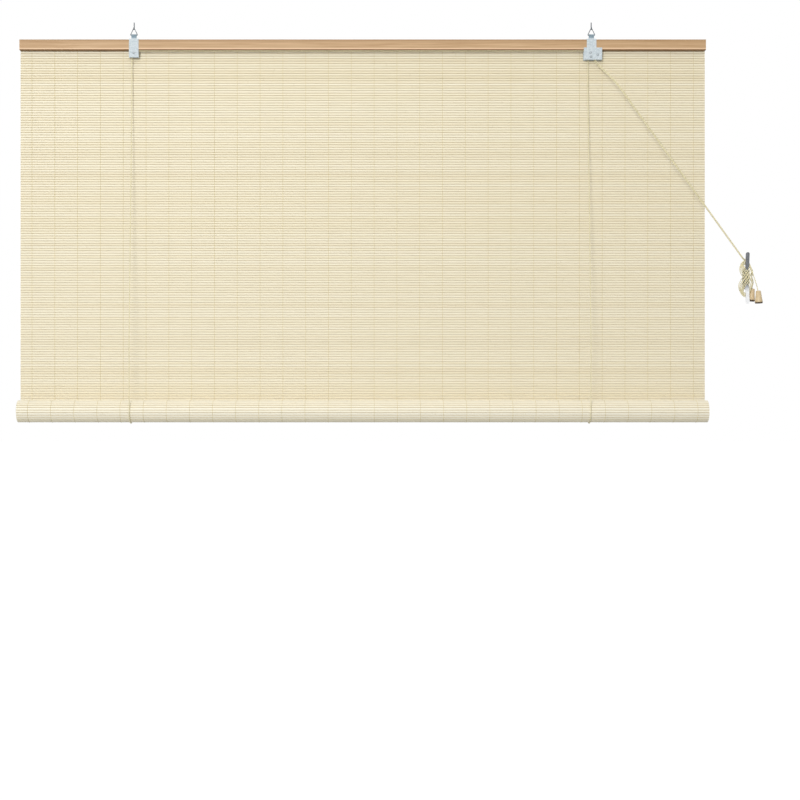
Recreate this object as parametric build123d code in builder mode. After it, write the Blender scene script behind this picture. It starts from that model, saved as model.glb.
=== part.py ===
from build123d import *
from math import acos, asin, atan2, cos, floor, hypot, pi, radians, sin, tan
import os

# Bamboo roll-up blind, half lowered, hung from two screw hooks, its cord made fast on a wall cleat.
# Millimetres. +X runs right along the headrail, +Y towards the wall behind the blind, +Z up.
# The origin is on the ceiling plane, midway between the two screw hooks.

# Whole blind
blind_width = 1500.0
hook_spacing = 1000.0
rail_drop = 29.0  # ceiling to the top of the headrail
roll_axis_drop = 841.0  # ceiling to the axis of the roll
roll_travel = 700.0  # the roll rises and falls this far from where it hangs
running_gap = 0.3  # between pieces that pass or turn beside each other
pin_clearance = 0.05  # round a pin in its hole

# Headrail, a planed batten
rail_height = 23.0
rail_depth = 12.0
rail_round = 1.2

# Mat of split bamboo slats, woven edge to edge
slat_pitch = 5.4
slat_height = 4.7
slat_thickness = 2.0
groove_depth = 0.6
mat_lap = 14.0  # how far the mat reaches up behind the headrail

# Roll, the lower half of the mat wound up on itself
roll_radius = 25.2
turn_gap = 0.456
core_radius = 4.0
widest_facet = radians(22.5)

# Staples that hold the mat and the cord ends to the headrail
staple_count = 8
staple_inset = 93.75  # end of the headrail to its nearest staple
staple_crown = 10.0
staple_wire = 1.0
staple_bite = 5.0  # depth of the legs in the headrail
staple_drop = 18.0  # below the top of the headrail
cord_staple_crown = 5.0

# Cord
cord_radius = 1.0
cord_tail_above_staple = 4.0

# Brackets, folded from zinc-plated sheet
sheet = 1.2
clip_width = 21.0
clip_lip = 8.0  # rear lip behind the headrail
bend_radius = 1.0
left_plate_drop = 16.6  # below the headrail
lock_plate_drop = 21.5
lock_left = 17.0  # reach of the lock's wide plate to each side of its bracket
lock_right = 23.0
lock_shoulder = 5.0  # the wide plate starts this far above the headrail's lower edge
leg_gap = 1.0  # between the headrail and the rear leg

# Eye on each bracket, wire bail and screw hook
eye_width = 11.6
eye_height = 8.3  # bail's base bar above the clip's top face
eye_bore_radius = 1.0
bail_radius = 0.8
bail_half_width = 8.0
bail_corner_radius = 1.0
bail_apex_radius = 2.0
bail_seat_clearance = 0.03
hook_radius = 1.1
hook_loop_radius = 2.9
hook_loop_drop = 4.0  # ceiling to the centre of the loop
hook_thread_length = 9.0
hook_loop_sweep = 205.0  # degrees

# Pulleys and rivets
pulley_radius = 5.8
pulley_drop = 6.3  # axle below the headrail
cord_turn_radius = 4.5  # middle of the cord in the groove
groove_floor_radius = 3.25
groove_width = 2.8
groove_floor_share = 0.7  # floor of a groove over its mouth
flange_width = 0.7
rivet_radius = 1.2
rivet_head_radius = 2.9
rivet_head_height = 1.1

# Cord lock, places measured from the middle of the right bracket and from the headrail's lower edge
lock_pulley_left = 2.4
guide_left = 1.3
guide_drop = 14.9
guide_radius = 2.4
pawl_right = 13.2
pawl_drop = 10.5
pawl_hub_radius = 3.6
pawl_nose_radius = 1.2
pawl_nose_left = 3.8  # nose from the pawl's pivot
pawl_nose_drop = 7.3
lock_exit_right = 9.0
lock_exit_drop = 24.0
exit_bend_radius = 6.0
cord_spread = 2.1  # between the two pull cords
roll_clearance = 1.3  # between the pull cords and the roll where it passes behind them
front_bend_radius = 25.0

# Cleat on the face of the wall beside the window recess
wall_y = -23.0
cleat_reach = 20.0  # wall to the middle of the hank
cleat_x = 831.0
cleat_drop = 553.7
cleat_length = 111.0
cleat_width = 7.7
cleat_bar = 5.0  # depth of the crossbar at its middle
cleat_tip = 3.0  # depth near the tips
cleat_sweep = 6.0  # tips stand out from the wall by this much more
cleat_tip_round_share = 0.45
cleat_stem_height = 16.0
cleat_stem_depth = 13.0
cleat_base_height = 46.0
cleat_base_width = 12.0
cleat_base_depth = 3.0
cleat_screw_spacing = 32.0
cleat_screw_radius = 1.5
cleat_screw_neck_radius = 1.75  # plain neck in the cleat's base, where the thread hasn't begun
cleat_screw_head_radius = 3.0
cleat_screw_length = 18.0

# Hank of cord wound on the cleat
hank_left = 3.3  # its middle from the cleat's
hank_half_width = 15.4
hank_half_height = 41.0
hank_front = 8.0
hank_back = 11.0
hank_bevel = 5.0
pull_end_left = 5.5  # where the pull cords reach the hank, from the cleat's middle
pull_end_rise = 38.1

# Turned wooden tassels on the cord's two tails
tassel_top_radius = 5.4
tassel_bottom_radius = 8.5
tassel_height = 27.5
tassel_round = 1.2
tail_corner_rise = 1.5  # a tail bends into its tassel this far above it
tail_bend_radius = 4.0
tail_in_tassel = 14.0
tail_top_rise = 11.0  # both tails leave the hank here, from the cleat's middle
tail_top_right = 11.0
front_tassel_place = (21.9, -8.0, -27.6)  # top of each tassel from the cleat's middle, along X, Y, Z
front_tassel_lean = 2.0
rear_tassel_place = (13.4, 10.0, -21.9)
rear_tassel_lean = -7.0
front_tail_depth = -2.0  # where each tail leaves the hank, along Y
rear_tail_depth = 6.0

# Places that follow from the sizes above
rail_top = -rail_drop
rail_bottom = rail_top - rail_height
rail_front = -rail_depth / 2
rail_back = rail_depth / 2
mat_front = rail_back
mat_back = mat_front + slat_thickness
roll_z = -roll_axis_drop
roll_y = mat_back - roll_radius
turn_step = slat_thickness + turn_gap
slat_edge = (slat_pitch - slat_height) / 2
mat_foot = roll_z + running_gap
hanging_slats = floor((rail_bottom + mat_lap - mat_foot) / slat_pitch)
mat_top = mat_foot + hanging_slats * slat_pitch
sling_radius = roll_radius + running_gap + cord_radius
left_x = -hook_spacing / 2
right_x = hook_spacing / 2
pulley_z = rail_bottom - pulley_drop
lock_pulley_x = right_x - lock_pulley_left
one_groove_width = groove_width + 2 * flange_width
two_groove_width = 2 * groove_width + 3 * flange_width
left_gap = one_groove_width + 2 * running_gap
lock_gap = two_groove_width + 2 * running_gap
front_groove_y = rail_front + running_gap + flange_width + groove_width / 2
rear_groove_y = front_groove_y + groove_width + flange_width
clip_top = rail_top + sheet
bail_y = -hook_loop_radius
bail_base_z = clip_top + eye_height
hook_floor_z = -hook_loop_drop - hook_loop_radius + hook_radius
bail_apex_z = hook_floor_z + bail_radius + bail_seat_clearance
bail_bend_z = bail_apex_z - bail_apex_radius
bail_bend_rise = bail_bend_z - bail_base_z
bail_slope = atan2(bail_bend_rise, bail_half_width) + asin(
    bail_apex_radius / hypot(bail_bend_rise, bail_half_width)
)
bail_peak_z = bail_base_z + bail_half_width * tan(bail_slope)  # where the two sides would meet
pawl_x = right_x + pawl_right
pawl_z = rail_bottom - pawl_drop
guide_x = right_x - guide_left
guide_z = rail_bottom - guide_drop
cleat_y = wall_y - cleat_reach
cleat_z = -cleat_drop
pull_front_y = roll_y - roll_radius - roll_clearance - cord_radius
tassel_bore_radius = cord_radius + pin_clearance

os.makedirs("parts", exist_ok=True)


def front_plane(y):
    """Upright plane across the blind, seen from the front, at depth y."""
    return Plane.XZ.offset(-y)


def axle_plane(x, z):
    """Plane for turned pieces on an axle along Y: local x is the radius, local y the depth."""
    return Plane(origin=(x, 0, z), x_dir=(1, 0, 0), z_dir=(0, 0, 1))


def finish(part, label):
    """Name a finished piece and write it out."""
    part.label = label
    export_step(part, f"parts/{label}.step")


# Headrail
with BuildPart() as headrail:
    with BuildSketch(Plane.YZ):
        with Locations((0, rail_top - rail_height / 2)):
            RectangleRounded(rail_depth, rail_height, rail_round)
    extrude(amount=blind_width / 2, both=True)
finish(headrail.part, "headrail")

# Hanging mat: one wall with a ridge for each slat on both faces
front_outline = []
back_outline = []
for slat in range(hanging_slats):
    low = mat_foot + slat * slat_pitch
    high = low + slat_pitch
    front_outline += [
        (mat_front + groove_depth, low),
        (mat_front, low + slat_edge),
        (mat_front, high - slat_edge),
    ]
    back_outline += [
        (mat_back - groove_depth, low),
        (mat_back, low + slat_edge),
        (mat_back, high - slat_edge),
    ]
front_outline.append((mat_front + groove_depth, mat_top))
back_outline.append((mat_back - groove_depth, mat_top))
with BuildPart() as hanging_mat:
    with BuildSketch(Plane.YZ):
        with BuildLine():
            Polyline(*front_outline, *reversed(back_outline), close=True)
        make_face()
    extrude(amount=blind_width / 2, both=True)
finish(hanging_mat.part, "hanging_mat")


def wound_point(angle, offset):
    """Point of the wound mat, an angle on from its outer end and an offset out from its middle."""
    radius = roll_radius - slat_thickness / 2 - turn_step * angle / (2 * pi) + offset
    return (roll_y + radius * cos(angle), roll_z - radius * sin(angle))


# Rolled mat: the band of slats wound down, forwards and up, ridged where the outer turn shows
outer_outline = []
inner_outline = []
angle = 0.0
radius = roll_radius - slat_thickness / 2
while radius - slat_thickness / 2 > core_radius:
    inner_outline.append(wound_point(angle, -slat_thickness / 2))
    step = min(slat_pitch / radius, widest_facet)
    if angle < 2 * pi:
        edge = slat_edge / radius
        outer_outline.append(wound_point(angle, slat_thickness / 2 - groove_depth))
        outer_outline.append(wound_point(angle + edge, slat_thickness / 2))
        outer_outline.append(wound_point(angle + step - edge, slat_thickness / 2))
    else:
        outer_outline.append(wound_point(angle, slat_thickness / 2))
    angle += step
    radius = roll_radius - slat_thickness / 2 - turn_step * angle / (2 * pi)
with BuildPart() as rolled_mat:
    with BuildSketch(Plane.YZ):
        with BuildLine():
            Polyline(*outer_outline, *reversed(inner_outline), close=True)
        make_face()
    extrude(amount=blind_width / 2, both=True)
finish(rolled_mat.part, "rolled_mat")


def staple(crown, crown_y):
    """Outline of a staple from above, its legs pointing into the headrail and its crown at crown_y."""
    leg_tip = rail_back - staple_bite
    inner = crown / 2 - staple_wire
    with BuildSketch() as outline:
        with BuildLine():
            Polyline(
                (-crown / 2, leg_tip),
                (-crown / 2, crown_y + staple_wire),
                (crown / 2, crown_y + staple_wire),
                (crown / 2, leg_tip),
                (inner, leg_tip),
                (inner, crown_y),
                (-inner, crown_y),
                (-inner, leg_tip),
                close=True,
            )
        make_face()
    return outline.sketch


# Staples through the mat into the back of the headrail
staple_z = rail_top - staple_drop
staple_spacing = (blind_width - 2 * staple_inset) / (staple_count - 1)
mat_staple = staple(staple_crown, mat_back)
with BuildPart() as mat_staples:
    with BuildSketch(Plane.XY.offset(staple_z - staple_wire / 2)):
        with GridLocations(staple_spacing, 0, staple_count, 1):
            add(mat_staple)
    extrude(amount=staple_wire)
finish(mat_staples.part, "mat_staples")

# Staples over the ends of the two lift cords
left_cord_x = left_x - cord_turn_radius
right_cord_x = lock_pulley_x - cord_turn_radius
back_run_y = roll_y + sling_radius
cord_staple = staple(cord_staple_crown, back_run_y + cord_radius)
with BuildPart() as cord_staples:
    with BuildSketch(Plane.XY.offset(staple_z - staple_wire / 2)):
        with Locations((left_cord_x, 0), (right_cord_x, 0)):
            add(cord_staple)
    extrude(amount=staple_wire)
finish(cord_staples.part, "cord_staples")


def bracket(middle_x, reach_left, reach_right, plate_drop, shoulder, gap, wall_x, rivets):
    """Folded sheet bracket: clip over the headrail, eye on top, front plate and rear leg below."""
    plate_bottom = rail_bottom - plate_drop
    plate_top = rail_bottom + shoulder
    leg_top = rail_bottom - leg_gap
    leg_front = rail_front + gap
    reach = reach_left + reach_right
    plate_x = middle_x + (reach_right - reach_left) / 2
    clip_plane = Plane.YZ.offset(middle_x - clip_width / 2)
    with BuildPart() as body:
        with BuildSketch(clip_plane):
            with BuildLine():
                Polyline(
                    (rail_front - sheet, plate_top),
                    (rail_front - sheet, clip_top),
                    (rail_back + sheet, clip_top),
                    (rail_back + sheet, clip_top - clip_lip),
                    (rail_back, clip_top - clip_lip),
                    (rail_back, rail_top),
                    (rail_front, rail_top),
                    (rail_front, plate_top),
                    close=True,
                )
            make_face()
        extrude(amount=clip_width)
        fold = body.edges().filter_by(Axis.X).group_by(Axis.Z)[-1]
        fillet(fold, radius=bend_radius)
        with BuildSketch(Plane.YZ.offset(middle_x - eye_width / 2)):
            with Locations((bail_y, (clip_top + bail_base_z) / 2 - bend_radius / 2)):
                Rectangle(sheet, bail_base_z - clip_top + bend_radius)
            with Locations((bail_y, bail_base_z)):
                Circle(eye_bore_radius + sheet)
                Circle(eye_bore_radius, mode=Mode.SUBTRACT)
        extrude(amount=eye_width)
        with BuildSketch(front_plane(rail_front - sheet)):
            with Locations((plate_x, (plate_top + plate_bottom) / 2)):
                Rectangle(reach, plate_top - plate_bottom)
        extrude(amount=-sheet)
        with BuildSketch(front_plane(leg_front)):
            with Locations((plate_x, (leg_top + plate_bottom) / 2)):
                Rectangle(reach, leg_top - plate_bottom)
        extrude(amount=-sheet)
        with BuildSketch(front_plane(rail_front - sheet)):
            with Locations((wall_x, (leg_top + plate_bottom) / 2)):
                Rectangle(sheet, leg_top - plate_bottom)
        extrude(amount=-(gap + 2 * sheet))
        with BuildSketch(front_plane(rail_front - sheet)):
            with Locations(*rivets):
                Circle(rivet_radius + pin_clearance)
        extrude(amount=-(gap + 2 * sheet), mode=Mode.SUBTRACT)
    return body.part


half_clip = clip_width / 2
left_bracket = bracket(
    left_x, half_clip, half_clip, left_plate_drop, 0, left_gap,
    left_x - half_clip + sheet / 2, [(left_x, pulley_z)],
)
finish(left_bracket, "left_bracket")
lock_rivets = [(lock_pulley_x, pulley_z), (guide_x, guide_z), (pawl_x, pawl_z)]
right_bracket = bracket(
    right_x, lock_left, lock_right, lock_plate_drop, lock_shoulder, lock_gap,
    right_x + lock_right - sheet / 2, lock_rivets,
)
finish(right_bracket, "right_bracket")


def pulley(x, grooves):
    """Grooved wheel on an axle along Y, its front face just behind the bracket's front plate."""
    floor_edge = groove_width * (1 - groove_floor_share) / 2
    depth = rail_front + running_gap
    outline = [(rivet_radius + pin_clearance, depth), (pulley_radius, depth)]
    for groove in range(grooves):
        mouth = depth + flange_width + groove * (groove_width + flange_width)
        outline += [
            (pulley_radius, mouth),
            (groove_floor_radius, mouth + floor_edge),
            (groove_floor_radius, mouth + groove_width - floor_edge),
            (pulley_radius, mouth + groove_width),
        ]
    back = mouth + groove_width + flange_width
    outline += [(pulley_radius, back), (rivet_radius + pin_clearance, back)]
    with BuildPart() as wheel:
        with BuildSketch(axle_plane(x, pulley_z)):
            with BuildLine():
                Polyline(*outline, close=True)
            make_face()
        revolve(axis=Axis((x, 0, pulley_z), (0, 1, 0)))
    return wheel.part


finish(pulley(left_x, 1), "left_pulley")
finish(pulley(lock_pulley_x, 2), "right_pulley")

# Rivets: the left axle, the lock's axle, its guide and the pawl's pivot
with BuildPart() as rivets:
    for x, z, gap in [(left_x, pulley_z, left_gap)] + [(x, z, lock_gap) for x, z in lock_rivets]:
        front = rail_front - sheet
        back = rail_front + gap + sheet
        with BuildSketch(axle_plane(x, z)):
            with BuildLine():
                Polyline(
                    (0, front - rivet_head_height),
                    (rivet_head_radius / 2, front - rivet_head_height),
                    (rivet_head_radius, front),
                    (rivet_radius, front),
                    (rivet_radius, back),
                    (rivet_head_radius, back),
                    (rivet_head_radius / 2, back + rivet_head_height),
                    (0, back + rivet_head_height),
                    close=True,
                )
            make_face()
        revolve(axis=Axis((x, 0, z), (0, 1, 0)))
finish(rivets.part, "rivets")

# Guide sleeve on its rivet in the lock
with BuildPart() as lock_guide:
    with BuildSketch(front_plane(rail_front + running_gap)):
        with Locations((guide_x, guide_z)):
            Circle(guide_radius)
            Circle(rivet_radius + pin_clearance, mode=Mode.SUBTRACT)
    extrude(amount=-two_groove_width)
finish(lock_guide.part, "lock_guide")

# Pawl that pinches the cords, its nose resting beside them
with BuildPart() as lock_pawl:
    with BuildSketch(front_plane(rail_front + running_gap)):
        with Locations((pawl_x, pawl_z)):
            Circle(pawl_hub_radius)
        with Locations((pawl_x - pawl_nose_left, pawl_z - pawl_nose_drop)):
            Circle(pawl_nose_radius)
        make_hull()
        with Locations((pawl_x, pawl_z)):
            Circle(rivet_radius + pin_clearance, mode=Mode.SUBTRACT)
    extrude(amount=-two_groove_width)
finish(lock_pawl.part, "lock_pawl")

# Wire bails: triangles of wire through the brackets' eyes, hung in the hooks
with BuildPart() as wire_bails:
    for x in (left_x, right_x):
        with BuildLine(front_plane(bail_y)) as triangle:
            FilletPolyline(
                (x + bail_half_width, bail_base_z),
                (x, bail_peak_z),
                (x - bail_half_width, bail_base_z),
                radius=[bail_corner_radius, bail_apex_radius, bail_corner_radius],
                close=True,
            )
        with BuildSketch(Plane(triangle.line @ 0, z_dir=triangle.line % 0)):
            Circle(bail_radius)
        sweep(path=triangle.line)
finish(wire_bails.part, "wire_bails")

# Screw hooks: threaded shank in the ceiling and a loop that opens to the front
with BuildPart() as screw_hooks:
    for x in (left_x, right_x):
        with BuildLine(Plane.YZ.offset(x)) as wire:
            shank = Line((0, hook_thread_length), (0, -hook_loop_drop))
            JernArc(shank @ 1, (0, -1), hook_loop_radius, -hook_loop_sweep)
        with BuildSketch(Plane(wire.line @ 0, z_dir=wire.line % 0)):
            Circle(hook_radius)
        sweep(path=wire.line)
finish(screw_hooks.part, "screw_hooks")


def cord(route, label):
    """Round cord along a route; prints its length and compares its volume with section times length."""
    with BuildPart() as tube:
        with BuildSketch(Plane(route @ 0, z_dir=route % 0)):
            Circle(cord_radius)
        sweep(path=route)
    share = tube.part.volume / (pi * cord_radius**2 * route.length)
    print(f"{label}: length {route.length:.1f}, volume share {share:.4f}")
    finish(tube.part, label)


def bent_route(points, radii):
    """Straight runs through points in space, joined by tangent arcs of the given radii."""
    with BuildLine() as route:
        start = Vector(*points[0])
        for point, after, radius in zip(points[1:-1], points[2:], radii):
            corner = Vector(*point)
            come = (corner - start).normalized()
            go = (Vector(*after) - corner).normalized()
            half_turn = radians(come.get_angle(go)) / 2
            trim = radius * tan(half_turn)
            middle = corner + (go - come).normalized() * (radius / cos(half_turn) - radius)
            Line(start, corner - come * trim)
            ThreePointArc(corner - come * trim, middle, corner + go * trim)
            start = corner + go * trim
        Line(start, Vector(*points[-1]))
    return route.wire()


# Lift cords: down the front from the pulley, under the roll and up behind the mat
for side, x, top_y in (("left", left_cord_x, front_groove_y), ("right", right_cord_x, rear_groove_y)):
    front_y = roll_y - sling_radius
    with BuildLine() as front_run:
        Line((x, top_y, pulley_z - running_gap), (x, front_y, roll_z + running_gap))
    cord(front_run.wire(), f"{side}_front_run")
    with BuildLine(Plane.YZ.offset(x)) as sling:
        JernArc((front_y, roll_z), (0, -1), sling_radius, 180)
    print(f"{side}_sling: radius {sling_radius:.1f}")
    cord(sling.wire(), f"{side}_sling")
    with BuildLine() as back_run:
        Line((x, back_run_y, roll_z + running_gap), (x, back_run_y, staple_z + cord_tail_above_staple))
    cord(back_run.wire(), f"{side}_back_run")


def leave_point(exit_x, exit_z):
    """Where a cord that comes over the lock's pulley leaves it for its exit, and the turn so far."""
    across = exit_x - lock_pulley_x
    down = exit_z - pulley_z
    bearing = atan2(down, across) + acos(cord_turn_radius / hypot(across, down))
    return (lock_pulley_x + cord_turn_radius * cos(bearing),
            pulley_z + cord_turn_radius * sin(bearing)), bearing


def front_corner_drop(y, z):
    """How far below (y, z) a cord that just clears the raised roll comes to the roll's front."""
    up = z - (roll_z + roll_travel)
    back = y - roll_y
    tilt = atan2(back, up) + asin((roll_y - pull_front_y) / hypot(back, up))
    return (y - pull_front_y) / tan(tilt)


# Pull cords: over the pulleys, through the lock, forward of the roll's path and down to the hank
exit_x = right_x + lock_exit_right
exit_z = rail_bottom - lock_exit_drop
end_x = cleat_x - pull_end_left
end_z = cleat_z + pull_end_rise
pull_length = hypot(end_x - exit_x, end_z - exit_z)
aside_x = (end_z - exit_z) / pull_length * cord_spread
aside_z = (exit_x - end_x) / pull_length * cord_spread
over_z = pulley_z + cord_turn_radius
for side, depth, shift in (("left", front_groove_y, 0), ("right", rear_groove_y, 1)):
    bend = (exit_x + shift * aside_x, exit_z + shift * aside_z)
    end = (end_x + shift * aside_x, end_z + shift * aside_z)
    leave, bearing = leave_point(*bend)
    corner_drop = front_corner_drop(depth, bend[1])
    corner_share = corner_drop / (exit_z - end_z)
    corner_x = bend[0] + (end_x - exit_x) * corner_share
    run_out = bent_route(
        [
            (leave[0], depth, leave[1]),
            (bend[0], depth, bend[1]),
            (corner_x, pull_front_y, bend[1] - corner_drop),
            (end[0], pull_front_y, end[1]),
        ],
        [exit_bend_radius, front_bend_radius],
    )
    with BuildLine(front_plane(depth)) as over_pulleys:
        if side == "left":
            up = JernArc((left_cord_x, pulley_z), (0, 1), cord_turn_radius, -90)
            across = Line(up @ 1, Vector(lock_pulley_x, depth, over_z))
            RadiusArc(across @ 1, leave, cord_turn_radius)
        else:
            ThreePointArc(
                (right_cord_x, pulley_z), (lock_pulley_x, over_z), leave
            )
    print(f"{side}_pull_cord: radii {cord_turn_radius}, {exit_bend_radius}, {front_bend_radius}")
    cord(Wire(over_pulleys.edges() + run_out.edges()), f"{side}_pull_cord")

cleat_mid_y = wall_y - cleat_base_depth - cleat_stem_depth - cleat_bar / 2
tip_mid_y = cleat_mid_y - cleat_sweep
base_front = wall_y - cleat_base_depth
screw_places = [(cleat_x, cleat_z + rise) for rise in (cleat_screw_spacing / 2, -cleat_screw_spacing / 2)]


def screw_outline(clearance):
    """Half outline of a countersunk screw driven into the wall, or of its hole: radius and depth."""
    taper = cleat_screw_head_radius - cleat_screw_neck_radius
    return [
        (0, base_front),
        (cleat_screw_head_radius + clearance, base_front),
        (cleat_screw_neck_radius + clearance, base_front + taper),
        (cleat_screw_neck_radius + clearance, wall_y),
        (cleat_screw_radius + clearance, wall_y),
        (cleat_screw_radius + clearance, base_front + cleat_screw_length),
        (0, base_front + cleat_screw_length),
    ]


# Cleat: one casting with a base on the wall, a stem and two horns that sweep outwards
with BuildPart() as cleat:
    with BuildSketch(Plane.YZ.offset(cleat_x)):
        with BuildLine():
            front_edge = ThreePointArc(
                (tip_mid_y - cleat_tip / 2, cleat_z + cleat_length / 2),
                (cleat_mid_y - cleat_bar / 2, cleat_z),
                (tip_mid_y - cleat_tip / 2, cleat_z - cleat_length / 2),
            )
            back_edge = ThreePointArc(
                (tip_mid_y + cleat_tip / 2, cleat_z - cleat_length / 2),
                (cleat_mid_y + cleat_bar / 2, cleat_z),
                (tip_mid_y + cleat_tip / 2, cleat_z + cleat_length / 2),
            )
            Line(front_edge @ 1, back_edge @ 0)
            Line(back_edge @ 1, front_edge @ 0)
        make_face()
    extrude(amount=cleat_width / 2, both=True)
    fillet(cleat.edges().filter_by(Axis.Y), radius=cleat_width * cleat_tip_round_share)
    with BuildSketch(front_plane(base_front)):
        with Locations((cleat_x, cleat_z)):
            RectangleRounded(cleat_width, cleat_stem_height, cleat_width * cleat_tip_round_share)
    extrude(amount=cleat_stem_depth + cleat_bar / 2)
    with BuildSketch(front_plane(base_front)):
        with Locations((cleat_x, cleat_z)):
            SlotOverall(cleat_base_height, cleat_base_width, rotation=90)
    extrude(amount=-cleat_base_depth)
    for x, z in screw_places:
        with BuildSketch(axle_plane(x, z)):
            with BuildLine():
                Polyline(*screw_outline(pin_clearance), close=True)
            make_face()
        revolve(axis=Axis((x, 0, z), (0, 1, 0)), mode=Mode.SUBTRACT)
finish(cleat.part, "cleat")

# Screws of the cleat
with BuildPart() as cleat_screws:
    for x, z in screw_places:
        with BuildSketch(axle_plane(x, z)):
            with BuildLine():
                Polyline(*screw_outline(0), close=True)
            make_face()
        revolve(axis=Axis((x, 0, z), (0, 1, 0)))
finish(cleat_screws.part, "cleat_screws")

# Hank: the outer shape of the cord wound in figures of eight on the cleat
with BuildPart() as cord_hank:
    with BuildSketch(front_plane(cleat_y - hank_front)):
        with Locations((cleat_x - hank_left, cleat_z)):
            Ellipse(hank_half_width, hank_half_height)
    extrude(amount=-(hank_front + hank_back))
    chamfer(cord_hank.edges().filter_by(GeomType.ELLIPSE), length=hank_bevel)
finish(cord_hank.part, "cord_hank")


def tassel_up(lean):
    """Direction up the axis of a tassel that leans sideways."""
    return Vector(-sin(radians(lean)), 0, cos(radians(lean)))


def tassel(place, lean):
    """Turned wooden tassel, bored for its cord, hung by the middle of its top and leaning sideways."""
    across = (cos(radians(lean)), 0, sin(radians(lean)))
    with BuildPart() as turned:
        with BuildSketch(Plane(origin=place, x_dir=across, z_dir=(0, -1, 0))):
            with BuildLine():
                Polyline(
                    (tassel_bore_radius, 0),
                    (tassel_top_radius - tassel_round, 0),
                    (tassel_top_radius, -tassel_round),
                    (tassel_bottom_radius, 2 * tassel_round - tassel_height),
                    (tassel_bottom_radius - tassel_round, -tassel_height),
                    (tassel_bore_radius, -tassel_height),
                    close=True,
                )
            make_face()
        revolve(axis=Axis(place, tassel_up(lean)))
    return turned.part


# Tails of the two cords and their tassels
for side, place, lean, depth in (
    ("front", front_tassel_place, front_tassel_lean, front_tail_depth),
    ("rear", rear_tassel_place, rear_tassel_lean, rear_tail_depth),
):
    top = Vector(cleat_x, cleat_y, cleat_z) + Vector(*place)
    finish(tassel(top, lean), f"{side}_tassel")
    tail = bent_route(
        [
            (cleat_x + tail_top_right, cleat_y + depth, cleat_z + tail_top_rise),
            top + tassel_up(lean) * tail_corner_rise,
            top - tassel_up(lean) * tail_in_tassel,
        ],
        [tail_bend_radius],
    )
    print(f"{side}_tail: radius {tail_bend_radius}")
    cord(tail, f"{side}_tail")
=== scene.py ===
"""Bamboo roll-up blind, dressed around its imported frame.

Lengths are written in millimetres and turned to metres by MM. +X runs right along the headrail,
+Y towards the window behind the blind and +Z up, as in the frame.
"""
from __future__ import annotations

import logging
import math
from dataclasses import dataclass
from enum import Enum
from typing import Optional, Sequence, Union

import bmesh
import bpy
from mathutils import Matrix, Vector
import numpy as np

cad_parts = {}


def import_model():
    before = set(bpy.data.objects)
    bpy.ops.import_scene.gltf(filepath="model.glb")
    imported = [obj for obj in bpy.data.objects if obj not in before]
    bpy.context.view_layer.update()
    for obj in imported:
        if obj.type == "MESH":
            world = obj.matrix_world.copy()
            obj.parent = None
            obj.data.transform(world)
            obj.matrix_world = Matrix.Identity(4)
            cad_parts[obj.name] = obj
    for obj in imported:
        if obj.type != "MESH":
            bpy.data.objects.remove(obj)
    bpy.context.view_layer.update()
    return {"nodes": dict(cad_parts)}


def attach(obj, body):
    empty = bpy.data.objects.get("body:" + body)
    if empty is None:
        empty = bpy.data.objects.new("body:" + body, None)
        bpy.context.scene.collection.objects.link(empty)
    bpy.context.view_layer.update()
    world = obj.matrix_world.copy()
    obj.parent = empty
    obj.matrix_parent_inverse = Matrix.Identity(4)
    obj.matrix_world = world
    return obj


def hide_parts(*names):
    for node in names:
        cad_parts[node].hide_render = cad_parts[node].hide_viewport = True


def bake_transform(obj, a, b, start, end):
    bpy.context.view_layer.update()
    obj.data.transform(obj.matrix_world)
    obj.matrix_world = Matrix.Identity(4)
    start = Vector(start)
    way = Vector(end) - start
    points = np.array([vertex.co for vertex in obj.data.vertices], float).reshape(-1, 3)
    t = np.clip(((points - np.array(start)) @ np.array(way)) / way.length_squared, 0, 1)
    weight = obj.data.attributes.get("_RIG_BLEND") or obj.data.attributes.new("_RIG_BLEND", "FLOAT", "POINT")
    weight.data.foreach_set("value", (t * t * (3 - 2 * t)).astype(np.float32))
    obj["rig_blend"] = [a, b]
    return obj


LOG = logging.getLogger("blind")
MM = 0.001
TURN = 2.0 * math.pi
QUARTER = math.pi / 2.0
WHITE = "#FFFFFF"
CURVE_STEPS = 12
CURVE_ORDER = 3
WIRE_ROUNDING = 4
Point = tuple[float, float, float]
Size = Union[int, float, Point]
Socket = bpy.types.NodeSocket
Tree = bpy.types.NodeTree
Material = bpy.types.Material
Mesh = bpy.types.Mesh
Thing = bpy.types.Object
Setting = Union[float, int, bool, str, tuple, list, Socket, bpy.types.ID]


class Body(Enum):
    """Bodies of the frame that the pieces ride on."""

    FRAME = "frame"
    SLING = "sling"
    ROLL = "roll"


class Slot(Enum):
    """Material slots of the record."""

    BAMBOO = "bamboo"
    ZINC = "zinc_sheet"
    WIRE = "steel_wire"
    CORD = "cord"
    TASSEL = "tassel_wood"


class Bend(Enum):
    """How a line goes through its points: in soft curves, or straight from one to the next."""

    SOFT = "NURBS"
    STRAIGHT = "POLY"


class Fade(Enum):
    """How a layer of colour sets in: evenly, or softly at both ends."""

    EVEN = "LINEAR"
    SOFT = "SMOOTHSTEP"


def linear(colour: str) -> tuple[float, float, float, float]:
    """Turn an sRGB hex colour to linear red, green, blue and alpha.

    Args:
        colour: Colour written as #RRGGBB.

    Returns:
        Linear colour with full alpha.
    """
    parts = [int(colour[i:i + 2], 16) / 255.0 for i in (1, 3, 5)]
    straight = [p / 12.92 if p <= 0.04045 else ((p + 0.055) / 1.055) ** 2.4 for p in parts]
    return (straight[0], straight[1], straight[2], 1.0)


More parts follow.
